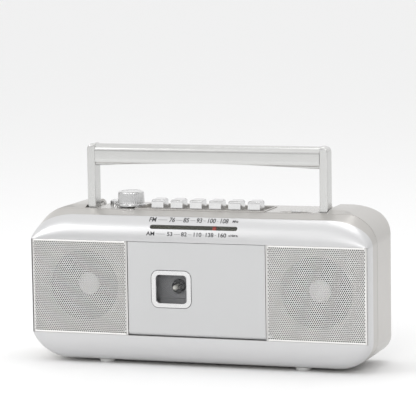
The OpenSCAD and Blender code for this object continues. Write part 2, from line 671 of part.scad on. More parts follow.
module battery_contacts() color("silver") {
    for (z = [cell_z0 + 13.4, cell_z1 - 13.4]) {
        translate([0, cell_y + 14, z]) rod_x(5, cell_x - 6, cell_x - 1);
        translate([0, cell_y + 14, z]) rod_x(7, cell_x - 1, cell_x);
        block([-cell_x, cell_y + 6, z - 8], [-cell_x + 0.6, cell_y + 22, z + 8]);
    }
}

module mains_inlet() color("black") translate([inlet_at[0], 0, inlet_at[1]]) {
    difference() {
        block([-9, back_y - 16, -6], [9, back_y - 0.6, 6]);
        block([-6.5, back_y - 12, -3.8], [6.5, back_y, 3.8]);
    }
    for (x = [-3.2, 3.2]) translate([x, 0, 0]) rod_y(1.2, back_y - 13, back_y - 7.5);
}

module headphone_socket() color("black") translate([socket_at[0], 0, socket_at[1]]) difference() {
    union() {
        rod_y(4, back_y - 4, back_y - 0.4);
        block([-6, back_y - 20, -5], [6, back_y - 4.6, 5]);
        rod_y(4, back_y - 5, back_y - 3.9);
    }
    rod_y(1.8, back_y - 16, back_y);
}

module antenna_base() color("silver") translate([antenna_at[0], 0, antenna_at[1]]) {
    rod_y(2, ledge_y - 3.6, antenna_y);
    rod_y(5.4, ledge_y + 0.4, back_y - 0.4);
    translate([0, antenna_y, 0]) rod_x(antenna_r - 0.65, -9, 0);
}

module antenna_tube() color("whitesmoke") translate([antenna_at[0], antenna_y, antenna_at[1]])
    difference() {
        rod_x(antenna_r, -antenna_l, -5.6);
        rod_x(antenna_r - 0.6, -antenna_l - 1, -4);
    }

module antenna_inner() color("whitesmoke") translate([antenna_at[0], antenna_y, antenna_at[1]])
    difference() {
        rod_x(antenna_r - 0.6 - run, -antenna_l - 2, -9.5);
        rod_x(antenna_r - 1.2, -antenna_l - 3, -8);
    }

module antenna_tip() color("whitesmoke") translate([antenna_at[0], antenna_y, antenna_at[1]]) {
    rod_x(antenna_r - 1.2 - run, -antenna_l - 2, -10);
    rod_x(antenna_r, -antenna_l - 6, -antenna_l - 2.4);
    rod_x(antenna_r - 1.2 - run, -antenna_l - 3, -antenna_l - 2);
}

// Two arms with a rounded top corner, a rounded foot and moulded pivot pins
module handle_arms() color("silver") sides() {
    intersection() {
        along_y(pivot_y - arm_d / 2, pivot_y + arm_d / 2) union() {
            translate([arm_x0, pivot_z]) square([arm_t, handle_z - pivot_z - 5]);
            translate([arm_x0, pivot_z]) square([arm_t - 5, handle_z - pivot_z]);
            translate([handle_x - 5, handle_z - 5]) circle(5);
        }
        along_x(arm_x0, handle_x) translate([pivot_y, handle_z - 60]) round_rect(arm_d, 120, 2.4);
    }
    translate([0, pivot_y, pivot_z]) rod_x(arm_d / 2, arm_x0, handle_x);
    translate([0, pivot_y, pivot_z]) rod_x(pivot_r, panel_x + 0.4, channel_x1 + 2.2);
}

// Grip with a flat-bottomed arch, rounded along its length
module handle_grip() color("silver") intersection() {
    along_y(pivot_y - arm_d / 2, pivot_y + arm_d / 2) polygon(concat(
        [[-arm_x0, handle_z - 0.4], [-arm_x0, handle_z - grip_h]],
        [for (i = [1:15]) let (u = i / 8 - 1) [u * arm_x0,
            handle_z - grip_h + grip_arch * (1 - u * u)]],
        [[arm_x0, handle_z - grip_h], [arm_x0, handle_z - 0.4]]));
    along_x(-arm_x0, arm_x0) translate([pivot_y, handle_z - grip_h / 2 - 0.2]) union() {
        round_rect(arm_d, grip_h - 0.4, 6.2);
        translate([0, -1]) square([arm_d - 3, grip_h - 5], center = true);
    }
}

module feet() color("dimgray") for (p = foot_at) translate([p[0], p[1], 0])
    cylinder(r1 = foot_r - 0.8, r2 = foot_r, h = foot_h);

module case_screws() color("darkgray") for (p = screw_at) translate([p[0], 0, p[1]]) difference() {
    union() {
        rod_y(screw_r, -14, screw_head_y);
        rod_y(3.2, screw_head_y, screw_head_y + 2);
    }
    block([-2.2, screw_head_y + 1, -0.4], [2.2, screw_head_y + 3, 0.4]);
    block([-0.4, screw_head_y + 1, -2.2], [0.4, screw_head_y + 3, 2.2]);
}

front_cabinet();
rear_cabinet();
top_panel();
key_surround();
key_record();
key_play();
key_rewind();
key_fast_forward();
key_stop_eject();
key_pause();
key_shaft();
key_springs();
key_bracket();
tuning_knob();
tuning_drum();
tuning_capacitor();
tuning_pointer();
dial_plate();
dial_lens();
volume_wheel();
volume_control();
function_slider();
function_switch();
left_grille();
right_grille();
left_speaker_frame();
right_speaker_frame();
left_speaker_cone();
right_speaker_cone();
speaker_magnets();
cassette_door();
window_frame();
door_window();
cassette_holder();
door_springs();
transport_chassis();
supply_spindle();
takeup_spindle();
capstan_flywheel();
pinch_roller();
head_plate();
tape_heads();
drive_motor();
motor_pulley();
drive_belt();
circuit_board();
power_transformer();
ferrite_antenna();
battery_cover();
battery_contacts();
mains_inlet();
headphone_socket();
antenna_base();
antenna_tube();
antenna_inner();
antenna_tip();
handle_arms();
handle_grip();
feet();
case_screws();
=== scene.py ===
"""Looks of a portable stereo radio cassette recorder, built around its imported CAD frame."""

from __future__ import annotations

import json
import logging
import math
from dataclasses import dataclass
from enum import Enum
from typing import Callable, Iterable, Sequence, Union

import bmesh
import bpy
from mathutils import Matrix, Vector

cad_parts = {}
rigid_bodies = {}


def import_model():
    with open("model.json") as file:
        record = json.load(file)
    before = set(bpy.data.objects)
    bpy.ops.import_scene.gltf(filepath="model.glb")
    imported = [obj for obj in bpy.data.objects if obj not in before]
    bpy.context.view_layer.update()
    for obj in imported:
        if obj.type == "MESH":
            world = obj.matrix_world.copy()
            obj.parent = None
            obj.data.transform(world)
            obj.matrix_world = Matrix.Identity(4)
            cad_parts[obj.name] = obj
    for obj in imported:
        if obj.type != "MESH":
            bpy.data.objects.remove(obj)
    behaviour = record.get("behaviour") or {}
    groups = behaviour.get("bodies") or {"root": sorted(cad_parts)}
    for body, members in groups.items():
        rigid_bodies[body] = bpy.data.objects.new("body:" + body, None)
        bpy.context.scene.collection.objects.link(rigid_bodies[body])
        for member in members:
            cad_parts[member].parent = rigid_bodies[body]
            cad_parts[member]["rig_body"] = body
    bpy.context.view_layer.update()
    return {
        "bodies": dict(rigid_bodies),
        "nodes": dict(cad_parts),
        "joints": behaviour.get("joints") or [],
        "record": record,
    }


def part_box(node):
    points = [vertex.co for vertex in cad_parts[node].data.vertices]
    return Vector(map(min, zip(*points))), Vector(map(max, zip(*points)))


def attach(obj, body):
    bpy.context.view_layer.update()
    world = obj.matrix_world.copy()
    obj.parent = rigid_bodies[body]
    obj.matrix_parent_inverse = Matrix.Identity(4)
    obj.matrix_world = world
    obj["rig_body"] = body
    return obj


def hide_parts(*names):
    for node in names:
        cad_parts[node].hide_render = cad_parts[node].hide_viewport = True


LOG = logging.getLogger("recorder")
MM = 0.001
FULL_TURN = 2 * math.pi
UP = Vector((0, 0, 1))
BACK = Vector((0, 1, 0))
MIDDLE_Z = 60 * MM  # height that the case narrows towards, from above and from below
FACE_Y = -39.0  # millimetres
BAFFLE_Y = -0.032
AXIS_Z = 0.0659  # height of the loudspeakers and of the reel spindles
SHORT_EDGE = 3 * MM * 0.1  # edges up to this length are not rounded
Number = Union[int, float, "Link"]
Colour = tuple[float, float, float]
Point = tuple[float, float, float]


# ---------------------------------------------------------------- shader maths


class Link:
    """A shader value that takes part in Python arithmetic."""

    def __init__(self, graph: "Graph", socket: bpy.types.NodeSocket) -> None:
        """Wraps an output socket of a node in graph."""
        self.graph = graph
        self.socket = socket

    def _math(self, operation: str, *values: Number) -> "Link":
        """Adds one Math node.

        Args:
            operation: the Math node's operation.
            values: its inputs in order, as numbers or links.

        Returns:
            The node's result.
        """
        return self.graph.node("ShaderNodeMath", {"operation": operation}, dict(enumerate(values)))

    def __add__(self, other: Number) -> "Link":
        """Sum."""
        return self._math("ADD", self, other)

    def __radd__(self, other: Number) -> "Link":
        """Sum, reflected."""
        return self._math("ADD", other, self)

    def __sub__(self, other: Number) -> "Link":
        """Difference."""
        return self._math("SUBTRACT", self, other)

    def __rsub__(self, other: Number) -> "Link":
        """Difference, reflected."""
        return self._math("SUBTRACT", other, self)

    def __mul__(self, other: Number) -> "Link":
        """Product."""
        return self._math("MULTIPLY", self, other)

    def __rmul__(self, other: Number) -> "Link":
        """Product, reflected."""
        return self._math("MULTIPLY", other, self)

    def __truediv__(self, other: Number) -> "Link":
        """Quotient."""
        return self._math("DIVIDE", self, other)

    def above(self, limit: float) -> "Link":
        """1 where the value is above limit, else 0."""
        return self._math("GREATER_THAN", self, limit)


class Graph:
    """The node tree of one material, with its shader and its output in place."""

    def __init__(self, name: str) -> None:
        """Starts a material called name."""
        self.material = bpy.data.materials.new(name)
        self.material.use_nodes = True
        self.tree = self.material.node_tree
        self.tree.nodes.clear()
        self.shader = self.tree.nodes.new("ShaderNodeBsdfPrincipled")
        output = self.tree.nodes.new("ShaderNodeOutputMaterial")
        self.tree.links.new(self.shader.outputs["BSDF"], output.inputs["Surface"])

    def node(self, kind: str, settings: dict, values: dict, out: int | str = 0) -> Link:
        """Adds a node.

        Args:
            kind: the node's type.
            settings: its own properties; a "stops" entry fills a colour ramp.
            values: socket name or number to a link, number or colour.
            out: the output that is wanted.

        Returns:
            That output.
        """
        made = self.tree.nodes.new(kind)
        for key, value in settings.items():
            if key == "stops":
                ramp = made.color_ramp
                ramp.elements[0].position, ramp.elements[1].position = value[0][0], value[-1][0]
                ramp.elements[0].color, ramp.elements[1].color = (*value[0][1], 1), (*value[-1][1], 1)
                for place, colour in value[1:-1]:
                    ramp.elements.new(place).color = (*colour, 1)
            else:
                setattr(made, key, value)
        for key, value in values.items():
            self._feed(made.inputs[key], value)
        return Link(self, made.outputs[out])

    def _feed(self, socket: bpy.types.NodeSocket, value: object) -> None:
        """Links or sets one input socket."""
        if isinstance(value, Link):
            self.tree.links.new(value.socket, socket)
        elif isinstance(value, tuple) and len(value) == 3 and socket.type == "RGBA":
            socket.default_value = (*value, 1)
        else:
            socket.default_value = value

    def set(self, name: str, value: object) -> None:
        """Sets or links an input of the shader."""
        self._feed(self.shader.inputs[name], value)

    def place(self, stretch: Point = (1, 1, 1), centre: Point = (0, 0, 0)) -> Link:
        """Object coordinates, moved so that centre is the origin and multiplied by stretch."""
        spot = self.node("ShaderNodeTexCoord", {}, {}, "Object")
        moved = tuple(-c * s for c, s in zip(centre, stretch))
        return self.node("ShaderNodeMapping", {}, {"Vector": spot, "Location": moved, "Scale": stretch})

    def noise(self, place: Link, scale: float, detail: float = 2.0) -> Link:
        """A noise value from 0 to 1 that repeats about every 1/scale metres."""
        return self.node("ShaderNodeTexNoise", {}, {"Vector": place, "Scale": scale, "Detail": detail})

    def tint(self, factor: Number, low: Colour, high: Colour) -> Link:
        """A colour between low and high."""
        return self.node("ShaderNodeMix", {"data_type": "RGBA"}, {0: factor, 6: low, 7: high}, 2)

    def bump(self, height: Link, depth: float) -> None:
        """Raises the surface by height times depth metres."""
        normal = self.node("ShaderNodeBump", {}, {"Height": height, "Distance": depth, "Strength": 1.0})
        self.set("Normal", normal)


# ---------------------------------------------------------------- finishes


class Grain(Enum):
    """How the fine texture of a finish runs."""

    SPECKLE = "speckle"
    BRUSHED_X = "brushed along X"
    BRUSHED_Z = "brushed along Z"
    PRESSED = "pressed fibre"


STRETCH = {
    Grain.SPECKLE: (1, 1, 1),
    Grain.BRUSHED_X: (0.03, 1, 1),
    Grain.BRUSHED_Z: (1, 1, 0.03),
    Grain.PRESSED: (1, 1, 1),
}


@dataclass(frozen=True)
class Finish:
    """An opaque finish: a base colour with soft clouds, a fine grain and a little wear."""

    name: str
    colour: Colour
    metallic: float = 0.0
    roughness: float = 0.4
    spread: float = 0.06
    cloud: float = 0.03
    grain: Grain = Grain.SPECKLE
    grain_scale: float = 2500.0
    grain_depth: float = 0.0000025
    coat: float = 0.0
    sparkle: float = 0.0
    beyond: Colour | None = None
    border: float = -0.0281

    def build(self) -> bpy.types.Material:
        """Makes the material."""
        graph = Graph(self.name)
        fine = graph.noise(graph.place(STRETCH[self.grain]), self.grain_scale, 3.0)
        broad = graph.noise(graph.place(), 28.0, 3.0)
        dark = tuple(c * (1 - 2 * self.cloud) for c in self.colour)
        light = tuple(min(1.0, c * (1 + 2 * self.cloud)) for c in self.colour)
        shade = broad * 0.65 + fine * 0.35
        if self.sparkle:
            flakes = graph.node(
                "ShaderNodeTexVoronoi", {}, {"Vector": graph.place(), "Scale": 3800.0}, "Distance"
            )
            shade = shade + (0.5 - flakes) * self.sparkle
        colour: Link = graph.tint(shade, dark, light)
        gloss: Number = 0.0
        if self.beyond:
            past = graph.node("ShaderNodeSeparateXYZ", {}, {0: graph.place()}, "Y").above(self.border)
            pale = tuple(c * 1.03 for c in self.beyond)
            colour = graph.tint(past, colour, graph.tint(shade, self.beyond, pale))
            gloss = past * 0.04
        graph.set("Base Color", colour)
        wear = graph.noise(graph.place(), 95.0, 5.0)
        uneven = (wear - 0.5) * (2 * self.spread) + (fine - 0.5) * self.spread
        graph.set("Roughness", self.roughness + uneven - gloss)
        graph.set("Metallic", self.metallic)
        graph.set("Coat Weight", self.coat)
        graph.set("Coat Roughness", 0.12)
        graph.bump(fine, self.grain_depth)
        return graph.material


@dataclass(frozen=True)
class ClearFinish:
    """A see-through plastic with a light haze of fine scratches."""

    name: str
    colour: Colour
    alpha: float
    roughness: float = 0.06

    def build(self) -> bpy.types.Material:
        """Makes the material."""
        graph = Graph(self.name)
        scuffs = graph.noise(graph.place((1, 1, 0.15)), 900.0, 4.0)
        graph.set("Base Color", graph.tint(scuffs, self.colour, tuple(min(1, c * 1.15) for c in self.colour)))
        graph.set("Roughness", self.roughness + scuffs * 0.05)
        graph.set("Alpha", self.alpha + scuffs.above(0.62) * 0.03)
        graph.set("Coat Weight", 0.3)
        graph.bump(scuffs, 0.000002)
        return graph.material


CASE_SILVER = Finish(
    "case_silver_paint", (0.63, 0.63, 0.635), 0.68, 0.35, 0.03, 0.012, sparkle=0.3, coat=0.1,
    beyond=(0.50, 0.485, 0.465),
)
DECK_SILVER = Finish("deck_warm_silver", (0.50, 0.485, 0.465), 0.75, 0.26, 0.04, 0.02, sparkle=0.3, coat=0.2)
CONTROL_SILVER = Finish("control_bright_silver", (0.72, 0.72, 0.72), 0.92, 0.2, 0.04, 0.015, coat=0.2)
HANDLE_SILVER = Finish("handle_satin_silver", (0.63, 0.63, 0.62), 0.9, 0.24, 0.04, 0.015, sparkle=0.25)
DOOR_SILVER = Finish("door_fine_satin", (0.55, 0.553, 0.556), 0.15, 0.42, 0.04, 0.01, sparkle=0.25)
GRILLE_METAL = Finish("grille_sheet", (0.86, 0.85, 0.835), 0.55, 0.32, 0.06, 0.02, Grain.BRUSHED_Z, 900.0)
BAFFLE_GREY = Finish("baffle_moulding", (0.34, 0.325, 0.31), 0.0, 0.55, 0.05, 0.02)
CONE_PAPER = Finish(
    "cone_pressed_paper", (0.012, 0.011, 0.011), 0.0, 0.75, 0.08, 0.08, Grain.PRESSED, 700.0, 0.00004
)
DUST_CAP = Finish("dust_cap_lacquer", (0.95, 0.95, 0.95), 0.2, 0.3, 0.05, 0.03)
SURROUND_RUBBER = Finish("surround_rubber", (0.04, 0.038, 0.038), 0.0, 0.6, 0.08, 0.05)
DARK_PLASTIC = Finish("dark_plastic", (0.035, 0.035, 0.038), 0.0, 0.45, 0.08, 0.05, grain_depth=0.00001)
POCKET_GREY = Finish("pocket_grey_plastic", (0.30, 0.30, 0.31), 0.0, 0.4, 0.08, 0.05, grain_depth=0.00001)
PALE_PLASTIC = Finish("pale_plastic", (0.70, 0.69, 0.64), 0.0, 0.42, 0.06, 0.03)
RUBBER = Finish("rubber", (0.09, 0.09, 0.09), 0.0, 0.72, 0.08, 0.06, grain_depth=0.00002)
FOOT_RUBBER = Finish("foot_rubber", (0.55, 0.55, 0.54), 0.0, 0.6, 0.06, 0.04, grain_depth=0.00001)
BRIGHT_STEEL = Finish(
    "bright_steel", (0.68, 0.68, 0.69), 1.0, 0.16, 0.05, 0.02, Grain.BRUSHED_X, 1600.0, 0.000002
)
ZINC_STEEL = Finish("zinc_steel", (0.42, 0.43, 0.44), 0.9, 0.42, 0.08, 0.05, Grain.BRUSHED_X, 900.0)
BRASS = Finish("turned_brass", (0.62, 0.45, 0.18), 1.0, 0.28, 0.06, 0.03, Grain.BRUSHED_X, 1600.0)
POINTER_RED = Finish("pointer_red", (0.80, 0.06, 0.04), 0.0, 0.3, 0.04, 0.03)
SPINDLE_BLACK = Finish("spindle_black", (0.012, 0.012, 0.014), 0.0, 0.5, 0.08, 0.08, grain_depth=0.00002)
DIAL_OLIVE = Finish("dial_olive", (0.085, 0.085, 0.068), 0.0, 0.5, 0.06, 0.04)
BOARD_GREEN = Finish("board_green", (0.03, 0.13, 0.06), 0.0, 0.35, 0.06, 0.08)
CORE_STEEL = Finish("core_varnish", (0.26, 0.15, 0.08), 0.4, 0.5, 0.08, 0.06, Grain.BRUSHED_Z, 800.0, 0.00003)
# dark grey of the printing, also used for the painted shadow ring round the window frame
PRINT_AND_SHADOW_GREY = Finish("print_grey", (0.022, 0.022, 0.025), 0.0, 0.5, 0.04, 0.03)
CLEAR_WINDOW = ClearFinish("clear_window", (0.80, 0.82, 0.83), 0.015)
SMOKED_WINDOW = ClearFinish("smoked_window", (0.10, 0.10, 0.08), 0.22)

MADE: dict[str, bpy.types.Material] = {}


def material_of(finish: Finish | ClearFinish) -> bpy.types.Material:
    """The material of a finish, made once."""
    if finish.name not in MADE:
        MADE[finish.name] = finish.build()
    return MADE[finish.name]


# ---------------------------------------------------------------- mesh helpers


def finish_mesh(bm: bmesh.types.BMesh, name: str, sharp: float = 32.0) -> bpy.types.Object:
    """Turns a bmesh into an object with smooth faces and sharp corners.

    Args:
        bm: the mesh, which is freed.
        name: the object's name.
        sharp: faces that meet at more than this many degrees stay sharp.

    Returns:
        The new object, linked to the scene.
    """
    mesh = bpy.data.meshes.new(name)
    bm.to_mesh(mesh)
    bm.free()
    mesh.shade_smooth()
    mesh.set_sharp_from_angle(angle=math.radians(sharp))
    made = bpy.data.objects.new(name, mesh)
    bpy.context.scene.collection.objects.link(made)
    return made


def dress(
    piece: bpy.types.Object,
    finish: Finish | ClearFinish,
    body: str,
    replaces: Iterable[str] = (),
) -> bpy.types.Object:
    """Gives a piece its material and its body.

    Args:
        piece: the finished object.
        finish: what it is made of.
        body: the CAD body that it moves with.
        replaces: CAD nodes that it stands for.

    Returns:
        The same piece.
    """
    piece.data.materials.clear()
    piece.data.materials.append(material_of(finish))
    even = piece.modifiers.new("even_normals", "WEIGHTED_NORMAL")
    even.keep_sharp, even.weight = True, 80
    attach(piece, body)
    names = list(replaces)
    if names:
        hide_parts(*names)
    LOG.info("%s: %d faces on %s", piece.name, len(piece.data.polygons), body)
    return piece


def clean(bm: bmesh.types.BMesh, reach: float = 1e-7) -> None:
    """Merges doubles and turns the faces outwards."""
    bmesh.ops.remove_doubles(bm, verts=bm.verts, dist=reach)
    bmesh.ops.recalc_face_normals(bm, faces=bm.faces)


def apply_modifiers(piece: bpy.types.Object) -> None:
    """Replaces a piece's mesh by what its modifiers make of it."""
    graph = bpy.context.evaluated_depsgraph_get()
    made = bpy.data.meshes.new_from_object(piece.evaluated_get(graph))
    piece.modifiers.clear()
    old = piece.data
    piece.data = made
    bpy.data.meshes.remove(old)


def cut(piece: bpy.types.Object, cutters: Sequence[bpy.types.Object], sharp: float = 32.0) -> None:
    """Cuts other solids out of a piece, and removes them."""
    for cutter in cutters:
        tool = piece.modifiers.new("cut", "BOOLEAN")
        tool.operation, tool.object, tool.solver = "DIFFERENCE", cutter, "EXACT"
    apply_modifiers(piece)
    for cutter in cutters:
        bpy.data.objects.remove(cutter)
    piece.data.shade_smooth()
    piece.data.set_sharp_from_angle(angle=math.radians(sharp))


def box_piece(
    name: str, low: Sequence[float], high: Sequence[float], round_off: float = 0.0
) -> bpy.types.Object:
    """A block from its lowest to its highest corner, with bevelled edges if round_off is given."""
    bm = bmesh.new()
    size = [h - l for l, h in zip(low, high)]
    centre = [(h + l) / 2 for l, h in zip(low, high)]
    bmesh.ops.create_cube(bm, size=1.0, matrix=Matrix.Translation(centre) @ Matrix.Diagonal((*size, 1)))
    if round_off:
        bevel(bm, list(bm.edges), round_off, 2)
    return finish_mesh(bm, name)


def bevel(bm: bmesh.types.BMesh, edges: list, offset: float, segments: int) -> None:
    """Bevels edges with a round profile."""
    bmesh.ops.bevel(
        bm, geom=edges, offset=offset, offset_type="OFFSET", segments=segments, profile=0.5,
        affect="EDGES", clamp_overlap=True, material=-1,
    )


def spun(
    name: str,
    outline: Sequence[tuple[float, float]],
    centre: Sequence[float],
    along: Vector,
    steps: int = 64,
    sharp: float = 32.0,
    change: Callable[[bmesh.types.BMesh], None] | None = None,
) -> bpy.types.Object:
    """A turned piece.

    Args:
        name: the object's name.
        outline: radius and height of each point, in metres.
        centre: where height 0 is on the axis.
        along: the direction of the axis.
        steps: faces round the axis.
        sharp: faces that meet at more than this many degrees stay sharp.
        change: a last change to the mesh while its axis is still Z.

    Returns:
        The new object.
    """
    bm = bmesh.new()
    verts = [bm.verts.new((r, 0, h)) for r, h in outline]
    edges = [bm.edges.new(pair) for pair in zip(verts, verts[1:])]
    bmesh.ops.spin(
        bm, geom=verts + edges, cent=(0, 0, 0), axis=(0, 0, 1), angle=FULL_TURN, steps=steps, use_merge=True
    )
    clean(bm, 1e-6)
    if change:
        change(bm)
    turn = UP.rotation_difference(along).to_matrix().to_4x4()
    bmesh.ops.transform(bm, matrix=Matrix.Translation(centre) @ turn, verts=bm.verts)
    return finish_mesh(bm, name, sharp)


def loft(bm: bmesh.types.BMesh, rings: Sequence[Sequence[Point]]) -> list:
    """Skins closed rings that have the same number of points, by extruding from ring to ring.

    Args:
        bm: the mesh to add to.
        rings: the points of each ring.

    Returns:
        The edges of the last ring.
    """
    verts = [bm.verts.new(p) for p in rings[0]]
    count = len(verts)
    edges = [bm.edges.new((verts[i], verts[(i + 1) % count])) for i in range(count)]
    for ring in rings[1:]:
        made = bmesh.ops.extrude_edge_only(bm, edges=edges)["geom"]
        new = [g for g in made if isinstance(g, bmesh.types.BMVert)]
        edges = [g for g in made if isinstance(g, bmesh.types.BMEdge) and all(v in new for v in g.verts)]
        where = {tuple(round(c, 8) for c in v.co): v for v in new}
        moved = [where[tuple(round(c, 8) for c in old.co)] for old in verts]
        for vert, point in zip(moved, ring):
            vert.co = point
        verts = moved
    return edges


def soften(
    node: str,
    finish: Finish | ClearFinish,
    width: float = 0.0004,
    sharp: float = 34.0,
    segments: int = 2,
) -> bpy.types.Object:
    """Stands in for a CAD node with the same shape, merged, smooth and with its hard edges rounded.

    Args:
        node: the CAD node.
        finish: what it is made of.
        width: width of the rounding, in metres.
        sharp: edges sharper than this many degrees are rounded.
        segments: faces across the rounding.

    Returns:
        The new piece.
    """
    bm = bmesh.new()
    bm.from_mesh(FRAME["nodes"][node].data)
    bmesh.ops.remove_doubles(bm, verts=bm.verts, dist=2e-6)
    bmesh.ops.dissolve_limit(
        bm, angle_limit=math.radians(0.6), use_dissolve_boundaries=False, verts=bm.verts, edges=bm.edges
    )
    limit = math.radians(sharp)
    hard = [
        e for e in bm.edges
        if len(e.link_faces) == 2 and e.calc_face_angle(0) > limit and e.calc_length() > SHORT_EDGE
    ]
    if width > 0:
        bevel(bm, hard, width, segments)
    bmesh.ops.triangulate(bm, faces=[f for f in bm.faces if len(f.verts) > 4])
    piece = finish_mesh(bm, f"{node}_finished", sharp)
    return dress(piece, finish, FRAME["nodes"][node]["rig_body"], [node])


FRAME: dict = {}


# ---------------------------------------------------------------- the case


def bend(a: float, b: float, c: float, s: float) -> float:
    """A point of a quadratic curve from a to c that leans towards b."""
    return (1 - s) * (1 - s) * a + 2 * s * (1 - s) * b + s * s * c


def shrunk(ring: Sequence[Point], by: float, back: float = 0.0) -> list[Point]:
    """A section of the case drawn in by a width, in metres, and moved back."""
    return [
        (x - math.copysign(by, x), y + back, z - math.copysign(by, z - MIDDLE_Z)) for x, y, z in ring
    ]


@dataclass(frozen=True)
class FrontShell:
    """The moulded front case: a face with rounded bands above and below, and the dial slot."""

    half_w: float = 148.0
    shoulder: float = 132.0
    wall: float = 2.2
    rebate: float = 0.45
    front: float = FACE_Y
    seam: float = -16.0
    crease: float = 11.0
    band_low: float = 26.0
    band_high: float = 105.0
    top: float = 125.2
    seam_top: float = 128.7
    bottom: float = 3.0
    corner_top: float = 38.0
    corner_low: float = 30.0
    bay: float = 59.9
    grille: float = 145.5
    slot: tuple[float, float, float] = (-40.5, 35.5, 3.8)
    dial_y: float = -35.9
    dial_z: float = 117.3
    lean: float = 28.6

    def ring(self, y: float, wide: float, low: float, high: float, count: int = 18) -> list[Point]:
        """One closed section of the case across Y."""
        rt = max(0.6, high - self.band_high + 1)
        rb = max(0.6, self.band_low + 1 - low)
        corners = (
            (wide - self.corner_top, high - rt, self.corner_top, rt, 0),
            (self.corner_top - wide, high - rt, self.corner_top, rt, 90),
            (self.corner_low - wide, low + rb, self.corner_low, rb, 180),
            (wide - self.corner_low, low + rb, self.corner_low, rb, 270),
        )
        points = []
        for cx, cz, rx, rz, start in corners:
            for i in range(count + 1):
                turn = math.radians(start + 90 * i / count)
                points.append(((cx + rx * math.cos(turn)) * MM, y * MM, (cz + rz * math.sin(turn)) * MM))
        return points

    def rings(self) -> list[list[Point]]:
        """The sections from the face to the seam."""
        made = []
        steps = 22
        for i in range(steps + 1):
            s = i / steps
            made.append(self.ring(
                bend(self.front, self.front + 0.3, self.front + self.crease, s),
                self.half_w - bend(3.5, 0.8, 0.6, s),
                bend(self.band_low, self.band_low - 18, self.bottom + 0.4, s),
                bend(self.band_high, self.band_high + 13, self.top, s),
            ))
        crease = made[-1]
        outer = self.ring(self.seam, self.half_w, self.bottom, self.shoulder)
        seam = [(x, y, min(z, self.seam_top * MM)) for x, y, z in outer]
        for i in range(1, 7):
            part = i / 6 if i < 6 else 0.96
            made.append([tuple(a + (b - a) * part for a, b in zip(p, q)) for p, q in zip(crease, seam)])
        made.append(shrunk(seam, self.rebate * MM))
        return made

    def build(self) -> bpy.types.Object:
        """Makes the shell with its face, its openings and the dial slot."""
        bm = bmesh.new()
        rings = self.rings()
        end = loft(bm, rings)
        front = self.front * MM
        first = [
            e for e in bm.edges if e.is_boundary and all(abs(v.co.y - front) < 1e-6 for v in e.verts)
        ]
        bmesh.ops.contextual_create(bm, geom=first)
        bmesh.ops.contextual_create(bm, geom=end)
        clean(bm, 1e-6)
        shell = finish_mesh(bm, "front_cabinet_finished", 40.0)
        inner = [shrunk(ring, self.wall * MM, self.wall * MM) for ring in rings]
        last = [(x, y + 4 * MM, z) for x, y, z in inner[-1]]
        bm = bmesh.new()
        end = loft(bm, inner + [last])
        first = [e for e in bm.edges if e.is_boundary and e not in end]
        bmesh.ops.contextual_create(bm, geom=first)
        bmesh.ops.contextual_create(bm, geom=end)
        clean(bm, 1e-6)
        hollow = finish_mesh(bm, "hollow")
        low, high = self.band_low * MM, self.band_high * MM
        cutters = [hollow]
        for side in (-1, 1):
            xs = sorted((side * (self.bay - 1) * MM, side * self.grille * MM))
            cutters.append(box_piece("bay", (xs[0], -0.05, low), (xs[1], -0.02, high)))
        cutters.append(box_piece("door_bay", (-self.bay * MM, -0.05, low), (self.bay * MM, -0.02, high)))
        slot = box_piece(
            "slot", (self.slot[0] * MM, -0.006, -self.slot[2] / 2 * MM),
            (self.slot[1] * MM, 0.008, self.slot[2] / 2 * MM), 0.0017,
        )
        slot.data.transform(self.dial_matrix())
        cutters.append(slot)
        cut(shell, cutters, 40.0)
        return shell

    def dial_matrix(self) -> Matrix:
        """Where the leaning dial frame stands."""
        return Matrix.Translation((0, self.dial_y * MM, self.dial_z * MM)) @ Matrix.Rotation(
            math.radians(-self.lean), 4, "X"
        )

    def baffle(self, radius: float = 30.0, at: tuple[float, float] = (101.0, 65.9)) -> bpy.types.Object:
        """The plate behind the grilles, with a bevelled hole for each loudspeaker."""
        plate = box_piece("front_baffle", (-0.1444, -0.034, 0.0245), (0.1444, BAFFLE_Y, 0.1065))
        cutters = [box_piece("middle", (-self.bay * MM, -0.05, 0.026), (self.bay * MM, -0.02, 0.105))]
        for side in (-1, 1):
            outline = [
                (0, -0.0022), ((radius + 1.2) * MM, -0.0022), (radius * MM, 0.0004),
                (radius * MM, 0.003), (0, 0.003),
            ]
            centre = (side * at[0] * MM, BAFFLE_Y - 0.0004, at[1] * MM)
            cutters.append(spun("hole", outline, centre, BACK))
        cut(plate, cutters)
        return plate

    def dress(self) -> None:
        """Makes the shell and its baffle as parts of the case."""
        dress(self.build(), CASE_SILVER, "case", ["front_cabinet"])
        dress(self.baffle(), BAFFLE_GREY, "case")


